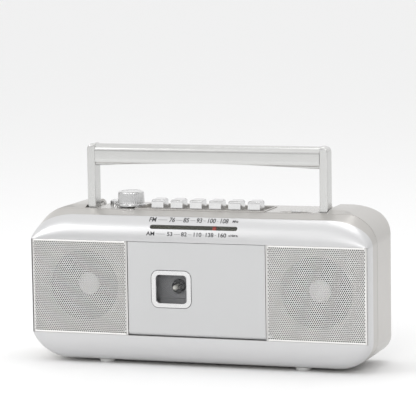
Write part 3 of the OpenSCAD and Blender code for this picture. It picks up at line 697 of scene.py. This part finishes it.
@dataclass(frozen=True)
class Grille:
    """A perforated loudspeaker grille with staggered round holes, bent back at its outer edge."""

    side: int
    inner_x: float = 60.2
    outer_x: float = 145.4
    low: float = 26.2
    high: float = 104.8
    front: float = FACE_Y
    thick: float = 0.9
    pitch: float = 1.75
    hole: float = 0.74
    fold: float = 3.0
    depth: float = 4.9
    sunk: float = 0.03

    def sheet(self, bm: bmesh.types.BMesh) -> None:
        """The flat sheet with its holes, in the XZ plane, before it is bent."""
        x0, x1 = self.inner_x + 1.3, self.outer_x - 1.6
        z0, z1 = self.low + 1.2, self.high - 1.2
        columns = int((x1 - x0) / self.pitch)
        rows = int((z1 - z0) / (self.pitch * math.sqrt(3) / 2))
        wide, tall = (x1 - x0) / columns, (z1 - z0) / rows
        for r in range(rows):
            z = z0 + r * tall
            odd = r % 2
            if odd:
                self.filler(bm, x0, z, wide / 2, tall)
                self.filler(bm, x1 - wide / 2, z, wide / 2, tall)
            for c in range(columns - odd):
                self.cell(bm, x0 + (c + 0.5 * odd) * wide, z, wide, tall)

    def vert(self, bm: bmesh.types.BMesh, x: float, z: float, y: float = 0.0) -> bmesh.types.BMVert:
        """A vertex of the flat sheet, in millimetres."""
        return bm.verts.new((x * MM, y * MM, z * MM))

    def cell(self, bm: bmesh.types.BMesh, x: float, z: float, wide: float, tall: float) -> None:
        """One cell of the sheet: a rectangle round a six-sided hole."""
        cx, cz = x + wide / 2, z + tall / 2
        turns = [math.radians(60 * i) for i in range(6)]
        inner = [
            self.vert(bm, cx + self.hole * math.cos(a), cz + self.hole * math.sin(a), self.sunk)
            for a in turns
        ]
        rim = ((1, 0.5), (0.75, 1), (0.25, 1), (0, 0.5), (0.25, 0), (0.75, 0))
        between = ((1, 1), (0.5, 1), (0, 1), (0, 0), (0.5, 0), (1, 0))
        outer = [self.vert(bm, x + wide * u, z + tall * v, self.sunk) for u, v in rim]
        extra = [self.vert(bm, x + wide * u, z + tall * v, self.sunk) for u, v in between]
        for i in range(6):
            j = (i + 1) % 6
            bm.faces.new([inner[i], outer[i], extra[i], outer[j], inner[j]])

    def filler(self, bm: bmesh.types.BMesh, x: float, z: float, wide: float, tall: float) -> None:
        """A plain half cell at the end of a shifted row."""
        spots = ((0, 0), (0.5, 0), (1, 0), (1, 0.5), (1, 1), (0.5, 1), (0, 1), (0, 0.5))
        bm.faces.new([self.vert(bm, x + wide * u, z + tall * v, self.sunk) for u, v in spots])

    def strip(self, bm: bmesh.types.BMesh, x0: float, x1: float, z0: float, z1: float) -> None:
        """A plain strip of the border, in steps fine enough to bend."""
        steps = max(1, int((x1 - x0) / 0.5)) if x1 > self.outer_x - self.fold else 1
        for i in range(steps):
            a, b = x0 + (x1 - x0) * i / steps, x0 + (x1 - x0) * (i + 1) / steps
            bm.faces.new([self.vert(bm, *p) for p in ((a, z0), (b, z0), (b, z1), (a, z1))])

    def bent(self, point: Vector) -> Vector:
        """Rolls the outer edge of the flat sheet back round the fold."""
        start, radius = (self.outer_x - self.fold) * MM, self.fold * MM
        deep = self.front * MM + point.y
        if point.x <= start:
            return Vector((point.x, deep, point.z))
        turn = (point.x - start) / radius
        if turn < math.pi / 2:
            return Vector((
                start + (radius - point.y) * math.sin(turn),
                self.front * MM + radius - (radius - point.y) * math.cos(turn), point.z,
            ))
        rest = min(point.x - start - radius * math.pi / 2, (self.depth - self.fold) * MM)
        return Vector((start + radius - point.y, self.front * MM + radius + rest, point.z))

    def build(self) -> bpy.types.Object:
        """Makes the sheet and its border, bends them and gives them their thickness."""
        bm = bmesh.new()
        self.sheet(bm)
        bmesh.ops.remove_doubles(bm, verts=bm.verts, dist=2e-6)
        far = self.outer_x + self.fold * (math.pi / 2 - 1) + self.depth - self.fold
        border = bmesh.new()
        edge = self.inner_x + 1.5
        self.strip(border, self.inner_x, edge, self.low, self.high)
        self.strip(border, self.outer_x - 1.8, far, self.low, self.high)
        self.strip(border, edge, self.outer_x - 1.8, self.high - 1.4, self.high)
        self.strip(border, edge, self.outer_x - 1.8, self.low, self.low + 1.4)
        bmesh.ops.remove_doubles(border, verts=border.verts, dist=2e-6)
        holder = bpy.data.meshes.new("border")
        border.to_mesh(holder)
        border.free()
        bm.from_mesh(holder)
        bpy.data.meshes.remove(holder)
        for vert in bm.verts:
            vert.co = self.bent(vert.co)
        if self.side < 0:
            bmesh.ops.scale(bm, vec=(-1, 1, 1), verts=bm.verts)
            bmesh.ops.reverse_faces(bm, faces=bm.faces)
        made = finish_mesh(bm, f"{self.name()}_finished", 50.0)
        solid = made.modifiers.new("sheet", "SOLIDIFY")
        solid.thickness, solid.offset = self.thick * MM, -1.0
        apply_modifiers(made)
        return made

    def name(self) -> str:
        """The CAD node's name."""
        return "right_grille" if self.side > 0 else "left_grille"

    def dress(self) -> None:
        """Makes the grille as a part of the case."""
        dress(self.build(), GRILLE_METAL, "case", [self.name()])


# ---------------------------------------------------------------- controls on the deck


@dataclass(frozen=True)
class Knob:
    """A turned knob with soft flutes round its side and a bright rim."""

    node: str
    radius: float
    flutes: int
    groove: float
    steps: int

    def fluted(self, bm: bmesh.types.BMesh) -> None:
        """Presses the flutes into the side."""
        for vert in bm.verts:
            reach = math.hypot(vert.co.x, vert.co.y)
            if reach > self.radius - 0.0012 and vert.co.z > 0.0021:
                turn = math.atan2(vert.co.y, vert.co.x)
                wave = abs(math.sin(turn * self.flutes / 2)) ** 0.6
                scale = 1 - (1 - wave) * self.groove / reach
                vert.co.x *= scale
                vert.co.y *= scale

    def build(self) -> bpy.types.Object:
        """Turns the knob, from its foot up."""
        low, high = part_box(self.node)
        height, r = high[2] - low[2], self.radius
        outline = [
            (0, 0), (r, 0), (r, 0.0013), (r - 0.0002, 0.0016), (r - 0.0007, 0.0018), (r - 0.0006, 0.0024),
            (r - 0.0007, 0.004), (r - 0.0009, 0.007), (r - 0.0011, height - 0.0016),
            (r - 0.00125, height - 0.001), (r - 0.0016, height - 0.0005), (r - 0.0021, height - 0.0002),
            (r - 0.0028, height), (r - 0.0034, height - 0.0001), (r - 0.0038, height - 0.0004),
            (0, height - 0.0005),
        ]
        centre = ((low[0] + high[0]) / 2, (low[1] + high[1]) / 2, low[2])
        return spun(f"{self.node}_finished", outline, centre, UP, self.steps, 40.0, self.fluted)


@dataclass(frozen=True)
class Deck:
    """The deck with its tray of keys, knob, wheel and slider."""

    keys: tuple[str, ...] = ("record", "play", "rewind", "fast_forward", "stop_eject", "pause")

    def wheel(self) -> bpy.types.Object:
        """The edge wheel, ribbed like a coin."""
        low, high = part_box("volume_wheel")
        r, top = 0.0075, high[2]
        outline = [
            (0, top - 0.006), (r, top - 0.006), (r, top - 0.0009), (r - 0.0003, top - 0.0003),
            (r - 0.0009, top), (r - 0.0016, top), (r - 0.0018, top - 0.0003), (0, top - 0.0004),
        ]

        def ribbed(bm: bmesh.types.BMesh) -> None:
            """Cuts the ribs."""
            for vert in bm.verts:
                reach = math.hypot(vert.co.x, vert.co.y)
                if reach > r - 0.0004:
                    turn = math.atan2(vert.co.y, vert.co.x)
                    scale = 1 - 0.00035 * (0.5 - 0.5 * math.cos(turn * 30)) / reach
                    vert.co.x *= scale
                    vert.co.y *= scale

        centre = ((low[0] + high[0]) / 2, (low[1] + high[1]) / 2, 0)
        return spun("volume_wheel_finished", outline, centre, UP, 180, 40.0, ribbed)

    def marks(self) -> None:
        """Four pad-printed marks behind the slider."""
        low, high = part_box("function_slider")
        y, z = high[1] + 0.0062, 0.129
        for i in range(4):
            x = (low[0] + high[0]) / 2 + (i - 1.5) * 0.0045
            corners = (x - 0.0008, y - 0.0003, z - 0.0002), (x + 0.0008, y + 0.0003, z + 0.00003)
            dress(box_piece(f"slider_mark_{i}", *corners), PRINT_AND_SHADOW_GREY, "case")

    def dress(self) -> None:
        """Dresses every control and the deck itself."""
        soften("top_panel", DECK_SILVER, width=0.0003)
        soften("key_surround", DECK_SILVER, width=0.0004)
        for key in self.keys:
            soften(f"key_{key}", CONTROL_SILVER, width=0.0007, segments=3, sharp=40.0)
        knob = Knob("tuning_knob", 0.012, 36, 0.00035, 216).build()
        dress(knob, CONTROL_SILVER, "tuning", ["tuning_knob"])
        dress(self.wheel(), CONTROL_SILVER, "volume", ["volume_wheel"])
        soften("function_slider", CONTROL_SILVER, width=0.0002)
        self.marks()


# ---------------------------------------------------------------- dial


@dataclass(frozen=True)
class Dial:
    """The scale plate, its pointer and lens, and the numbers printed on the case round the slot."""

    shell: FrontShell
    upper: tuple[str, ...] = ("76", "85", "93", "100", "108")
    lower: tuple[str, ...] = ("53", "82", "110", "138", "160")
    places: tuple[float, ...] = (-0.0223, -0.0100, 0.0014, 0.0118, 0.0227)
    height: float = 0.0037

    def surface(self, z: float) -> float:
        """The y of the upper band at height z, in metres."""
        low, high = 0.0, 1.0
        for _ in range(40):
            middle = (low + high) / 2
            if bend(self.shell.band_high, self.shell.band_high + 13, self.shell.top, middle) * MM < z:
                low = middle
            else:
                high = middle
        return bend(self.shell.front, self.shell.front + 0.3, self.shell.front + self.shell.crease, low) * MM

    def lay(self, mesh: bpy.types.Mesh, x: float, up: float) -> None:
        """Lays a thin flat mesh, drawn in X and Y, on the band: x to the right and up along its slope."""
        slope = math.cos(math.radians(self.shell.lean))
        for vert in mesh.vertices:
            across, along, out = vert.co
            z = self.shell.dial_z * MM + (up + along) * slope
            vert.co = (x + across, self.surface(z) - 0.00005 - out, z)

    def word(self, text: str, x: float, up: float, height: float) -> bpy.types.Object:
        """A printed word centred on x."""
        curve = bpy.data.curves.new("print", "FONT")
        curve.body, curve.size, curve.extrude, curve.offset = text, height * 1.38, 0.00003, 0.00009
        curve.align_x, curve.align_y = "CENTER", "CENTER"
        holder = bpy.data.objects.new("print", curve)
        bpy.context.scene.collection.objects.link(holder)
        bpy.context.view_layer.update()
        mesh = bpy.data.meshes.new_from_object(holder.evaluated_get(bpy.context.evaluated_depsgraph_get()))
        bpy.data.objects.remove(holder)
        bm = bmesh.new()
        bm.from_mesh(mesh)
        clean(bm, 1e-7)
        for i in range(-5, 6):
            parts = list(bm.verts) + list(bm.edges) + list(bm.faces)
            bmesh.ops.bisect_plane(bm, geom=parts, plane_co=(0, i * 0.0005, 0), plane_no=(0, 1, 0))
        bm.to_mesh(mesh)
        bm.free()
        self.lay(mesh, x, up)
        name = f"print_{text}_{round(up * 1e4)}_{round(x * 1e4)}".replace("-", "m")
        piece = bpy.data.objects.new(name, mesh)
        bpy.context.scene.collection.objects.link(piece)
        return piece

    def dash(self, x: float, up: float, wide: float) -> bpy.types.Object:
        """A thin printed line."""
        piece = box_piece(
            f"dash_{round(x * 1e5)}_{round(up * 1e5)}".replace("-", "m"),
            (-wide / 2, -0.0001, -0.00003), (wide / 2, 0.0001, 0.00003),
        )
        self.lay(piece.data, x, up)
        return piece

    def dress(self) -> None:
        """Dresses the plate, pointer and lens, and prints both scales."""
        soften("dial_plate", DIAL_OLIVE, width=0.0)
        soften("tuning_pointer", POINTER_RED, width=0.0001)
        soften("dial_lens", SMOKED_WINDOW, width=0.0003)
        scales = (self.upper, 0.0060, "FM", "MHz"), (self.lower, -0.0064, "AM", "x10kHz")
        for words, up, label, unit in scales:
            marks = [
                self.word(label, -0.0392, up, self.height),
                self.word(unit, 0.0325, up, self.height * 0.5),
            ]
            marks += [self.word(text, x, up, self.height) for text, x in zip(words, self.places)]
            marks.append(self.dash(-0.0305, up, 0.0080))
            ends = [(x, len(text) * 0.0013) for text, x in zip(words, self.places)]
            for (x0, half0), (x1, half1) in zip(ends, ends[1:]):
                left, right = x0 + half0 + 0.0008, x1 - half1 - 0.0008
                marks.append(self.dash((left + right) / 2, up, max(0.0012, right - left)))
            for mark in marks:
                dress(mark, PRINT_AND_SHADOW_GREY, "case")


# ---------------------------------------------------------------- speakers


@dataclass(frozen=True)
class Speaker:
    """A loudspeaker cone with a rolled surround, ribs and a bright dust cap."""

    side: int
    x: float = 0.101
    y: float = BAFFLE_Y
    z: float = AXIS_Z
    radius: float = 0.030

    def name(self) -> str:
        """The CAD node's name."""
        return "right_speaker_cone" if self.side > 0 else "left_speaker_cone"

    def turned(self, name: str, outline: Sequence[tuple[float, float]]) -> bpy.types.Object:
        """A turned piece on the speaker's axis; heights run back from the baffle."""
        return spun(name, outline, (self.side * self.x, self.y, self.z), BACK, 96, 60.0)

    def dress(self) -> None:
        """Makes the surround, the cone and the cap."""
        r = self.radius
        roll = [
            (r - 0.0045 + 0.0043 * i / 12, 0.0009 - 0.0008 * math.sin(math.pi * i / 12)) for i in range(13)
        ]
        back = [(p[0], p[1] + 0.0005) for p in reversed(roll)]
        surround = self.turned(f"{self.name()}_surround", roll + back + roll[:1])
        dress(surround, SURROUND_RUBBER, "case")
        wall = []
        for i in range(25):
            s = i / 24
            radius = 0.009 + (r - 0.0045 - 0.009) * s
            depth = 0.0108 - 0.0097 * s ** 0.85
            wall.append((radius, depth + 0.00012 * math.sin(s * 40)))
        back = [(p[0], p[1] + 0.0006) for p in reversed(wall)]
        cone = self.turned(f"{self.name()}_finished", wall + back + wall[:1])
        dress(cone, CONE_PAPER, "case", [self.name()])
        cap = [(0.0, 0.0068)]
        for i in range(1, 13):
            a = math.radians(49.5 * i / 12)
            cap.append((0.0132 * math.sin(a), 0.0200 - 0.0132 * math.cos(a)))
        back = [(p[0], p[1] + 0.0004) for p in reversed(cap)]
        dress(self.turned(f"{self.name()}_cap", cap + back), DUST_CAP, "case")


# ---------------------------------------------------------------- door and transport


@dataclass(frozen=True)
class CassetteBay:
    """The door with its window, and what shows through it."""

    disc: float = 0.00575
    reel: float = 0.02125
    z: float = AXIS_Z
    chassis: float = -0.019

    def spindle(self, node: str, side: int, body: str) -> None:
        """A reel spindle: a black disc, and a pale hub with three pointed vanes."""
        x, y = side * self.reel, self.chassis
        rim = [
            (0, -0.003), (self.disc - 0.0006, -0.003), (self.disc - 0.0002, -0.0028), (self.disc, -0.0024),
            (self.disc, -0.0003), (0.0015, -0.0003), (0.0015, 0.0032), (0, 0.0032),
        ]
        disc = spun(f"{node}_finished", rim, (x, y, self.z), BACK, 64)
        dress(disc, SPINDLE_BLACK, body, [node])
        tip = [
            (0, -0.01438), (0.0005, -0.0142), (0.0010, -0.0134), (0.0019, -0.0116), (0.0022, -0.0108),
            (0.0023, -0.0031), (0, -0.0031),
        ]
        hub = spun(f"{node}_tip", tip, (x, y, self.z), BACK, 48, 50.0)
        dress(hub, PALE_PLASTIC, body)
        bm = bmesh.new()
        for i in range(3):
            made = bmesh.ops.create_cube(bm, size=1.0)["verts"]
            bmesh.ops.scale(bm, vec=(0.0010, 0.0060, 0.0036), verts=made)
            bmesh.ops.translate(bm, vec=(0, 0.0007, 0.0018), verts=made)
            for vert in made:
                if vert.co.y < 0 and vert.co.z > 0.002:
                    vert.co.z *= 0.62
            bmesh.ops.rotate(
                bm, cent=(0, 0, 0), matrix=Matrix.Rotation(math.radians(60 + 120 * i), 3, "Y"), verts=made
            )
        bmesh.ops.translate(bm, vec=(x, y - 0.0067, self.z), verts=bm.verts)
        bevel(bm, list(bm.edges), 0.0002, 2)
        dress(finish_mesh(bm, f"{node}_vanes"), SPINDLE_BLACK, body)

    def seam(self) -> None:
        """A painted shadow: a thin dark ring on the door, in the gap round the window frame where shade would
        fall.
        """
        low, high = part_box("window_frame")
        bm = bmesh.new()
        rings = []
        for grow, y in ((0.0, 0.0), (0.45, 0.0), (0.45, -0.05), (0.0, -0.05)):
            half_x, half_z = (high[0] - low[0]) / 2 + grow * MM, (high[2] - low[2]) / 2 + grow * MM
            r, points = (6.0 + grow) * MM, []
            for k, (sx, sz) in enumerate(((1, 1), (-1, 1), (-1, -1), (1, -1))):
                for i in range(9):
                    turn = math.radians(90 * k + 90 * i / 8)
                    points.append((
                        (low[0] + high[0]) / 2 + sx * (half_x - r) + r * math.cos(turn), -0.0386 + y * MM,
                        (low[2] + high[2]) / 2 + sz * (half_z - r) + r * math.sin(turn),
                    ))
            rings.append(points)
        loft(bm, [*rings, rings[0]])
        clean(bm, 1e-6)
        # painted shadow: a flat dark ring in the print grey, standing in for the shade in the gap round the
        # frame
        dress(finish_mesh(bm, "window_painted_shadow_ring"), PRINT_AND_SHADOW_GREY, "door")

    def dress(self) -> None:
        """Dresses the door, its window and the mechanism."""
        soften("cassette_door", DOOR_SILVER, width=0.0004)
        soften("window_frame", CONTROL_SILVER, width=0.0005, segments=3)
        # painted shadow ring round the window frame
        self.seam()
        soften("door_window", CLEAR_WINDOW, width=0.0002)
        soften("cassette_holder", POCKET_GREY, width=0.0003)
        soften("transport_chassis", POCKET_GREY, width=0.0002)
        self.spindle("supply_spindle", -1, "supply_reel")
        self.spindle("takeup_spindle", 1, "takeup_reel")


# ---------------------------------------------------------------- everything else


@dataclass(frozen=True)
class Coat:
    """How one CAD node is softened and painted."""

    node: str
    finish: Finish | ClearFinish
    width: float = 0.0002
    segments: int = 2


PLAIN_NODES = (
    Coat("rear_cabinet", CASE_SILVER, 0.0006),
    Coat("handle_arms", HANDLE_SILVER, 0.0009, 3),
    Coat("handle_grip", HANDLE_SILVER, 0.0006),
    Coat("feet", FOOT_RUBBER, 0.0005),
    Coat("battery_cover", CASE_SILVER, 0.0004),
    Coat("mains_inlet", DARK_PLASTIC, 0.0003),
    Coat("headphone_socket", DARK_PLASTIC, 0.0002),
    Coat("antenna_base", BRIGHT_STEEL),
    Coat("antenna_tube", BRIGHT_STEEL, 0.0001),
    Coat("antenna_inner", BRIGHT_STEEL, 0.0001),
    Coat("antenna_tip", BRIGHT_STEEL, 0.0003),
    Coat("case_screws", ZINC_STEEL, 0.0001),
    Coat("left_speaker_frame", ZINC_STEEL, 0.0001),
    Coat("right_speaker_frame", ZINC_STEEL, 0.0001),
    Coat("speaker_magnets", ZINC_STEEL),
    Coat("door_springs", BRIGHT_STEEL, 0.00005),
    Coat("capstan_flywheel", ZINC_STEEL, 0.0001),
    Coat("pinch_roller", RUBBER),
    Coat("head_plate", ZINC_STEEL, 0.0001),
    Coat("tape_heads", BRIGHT_STEEL),
    Coat("drive_motor", ZINC_STEEL, 0.0004),
    Coat("motor_pulley", BRASS, 0.0001),
    Coat("drive_belt", RUBBER, 0.0),
    Coat("circuit_board", BOARD_GREEN, 0.0001),
    Coat("power_transformer", CORE_STEEL, 0.0004),
    Coat("ferrite_antenna", DARK_PLASTIC),
    Coat("battery_contacts", BRIGHT_STEEL, 0.0001),
    Coat("key_shaft", BRIGHT_STEEL),
    Coat("key_springs", ZINC_STEEL, 0.0001),
    Coat("key_bracket", ZINC_STEEL, 0.0001),
    Coat("tuning_drum", PALE_PLASTIC),
    Coat("tuning_capacitor", PALE_PLASTIC, 0.0003),
    Coat("volume_control", ZINC_STEEL),
    Coat("function_switch", DARK_PLASTIC),
)


# ---------------------------------------------------------------- picture


@dataclass(frozen=True)
class View:
    """The camera: where it looks, from how far, and its lens."""

    azimuth: float = 18.5864
    elevation: float = 6.7846
    roll: float = -0.9126
    distance: float = 2.00105
    target: Point = (0.011589, -0.039, 0.134288)
    lens: float = 211.99

    def build(self) -> bpy.types.Object:
        """Makes the camera and makes it the scene's own."""
        az, el, roll = (math.radians(a) for a in (self.azimuth, self.elevation, self.roll))
        back = Vector((math.sin(az) * math.cos(el), -math.cos(az) * math.cos(el), math.sin(el)))
        right = (-back).cross(UP).normalized()
        up = right.cross(-back)
        across = right * math.cos(roll) + up * math.sin(roll)
        above = up * math.cos(roll) - right * math.sin(roll)
        data = bpy.data.cameras.new("camera")
        data.sensor_width, data.lens = 36.0, self.lens
        data.clip_start, data.clip_end = 0.05, 60.0
        camera = bpy.data.objects.new("camera", data)
        camera.matrix_world = Matrix.Translation(Vector(self.target) + back * self.distance) @ Matrix(
            (across, above, back)
        ).transposed().to_4x4()
        bpy.context.scene.collection.objects.link(camera)
        bpy.context.scene.camera = camera
        return camera


@dataclass(frozen=True)
class Lamp:
    """One soft box, aimed at the object."""

    name: str
    place: Point
    size: float
    power: float
    aim: Point = (0.0, 0.0, 0.09)

    def build(self) -> None:
        """Adds the light."""
        data = bpy.data.lights.new(self.name, "AREA")
        data.shape, data.size, data.energy = "SQUARE", self.size, self.power
        lamp = bpy.data.objects.new(self.name, data)
        turn = (Vector(self.aim) - Vector(self.place)).to_track_quat("-Z", "Y")
        lamp.matrix_world = Matrix.Translation(self.place) @ turn.to_matrix().to_4x4()
        bpy.context.scene.collection.objects.link(lamp)


LAMPS = (
    Lamp("key_light", (-1.3, -1.3, 1.3), 0.8, 8.0),
    Lamp("front_light", (0.3, -2.2, 0.8), 0.5, 9.0),
    Lamp("top_light", (0.1, 0.2, 1.5), 0.7, 3.0),
)


@dataclass(frozen=True)
class Studio:
    """A white room with a pale floor and soft boxes."""

    white: float = 1.0
    dim: float = 0.62
    floor: Colour = (0.90, 0.90, 0.90)

    def shade_world(self, tree: bpy.types.NodeTree) -> None:
        """A white surround that is dimmer towards the front, so that silver shows its form."""

        def math_node(operation: str, *values: Number | bpy.types.NodeSocket) -> bpy.types.NodeSocket:
            """One Math node of the world, clamped."""
            made = tree.nodes.new("ShaderNodeMath")
            made.operation, made.use_clamp = operation, True
            for socket, value in zip(made.inputs, values):
                if isinstance(value, (int, float)):
                    socket.default_value = value
                else:
                    tree.links.new(value, socket)
            return made.outputs[0]

        spot = tree.nodes.new("ShaderNodeTexCoord").outputs["Generated"]
        split = tree.nodes.new("ShaderNodeSeparateXYZ")
        tree.links.new(spot, split.inputs[0])
        ahead = math_node("MULTIPLY", math_node("MULTIPLY", split.outputs["Y"], -1.0), 1.6)
        ahead = math_node("ADD", ahead, math_node("MULTIPLY", split.outputs["X"], 0.7))
        level = math_node("SUBTRACT", 1.0, math_node("MULTIPLY", split.outputs["Z"], 1.7))
        shade = math_node("MULTIPLY", math_node("MULTIPLY", ahead, level), self.dim)
        back = tree.nodes["Background"]
        tree.links.new(math_node("SUBTRACT", self.white, shade), back.inputs["Strength"])
        back.inputs["Color"].default_value = (1, 1, 1, 1)

    def build(self) -> None:
        """Makes the world, the floor and the lights."""
        world = bpy.data.worlds.new("studio")
        world.use_nodes = True
        self.shade_world(world.node_tree)
        bpy.context.scene.world = world
        bm = bmesh.new()
        bmesh.ops.create_grid(bm, x_segments=1, y_segments=1, size=16.0)
        floor = finish_mesh(bm, "floor")
        floor.data.materials.append(Finish("floor_paper", self.floor, 0.0, 0.7, 0.02, 0.004).build())
        for lamp in LAMPS:
            lamp.build()
        settings = bpy.context.scene.view_settings
        settings.view_transform, settings.look = "Standard", "None"
        settings.exposure, settings.gamma = 0.0, 1.0


def main() -> None:
    """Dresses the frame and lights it."""
    logging.basicConfig(level=logging.INFO, format="%(message)s")
    FRAME.update(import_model())
    shell = FrontShell()
    shell.dress()
    for side in (-1, 1):
        Grille(side).dress()
        Speaker(side).dress()
    Deck().dress()
    Dial(shell).dress()
    CassetteBay().dress()
    for coat in PLAIN_NODES:
        soften(coat.node, coat.finish, coat.width, segments=coat.segments)
    View().build()
    Studio().build()


if __name__ == "__main__":
    main()
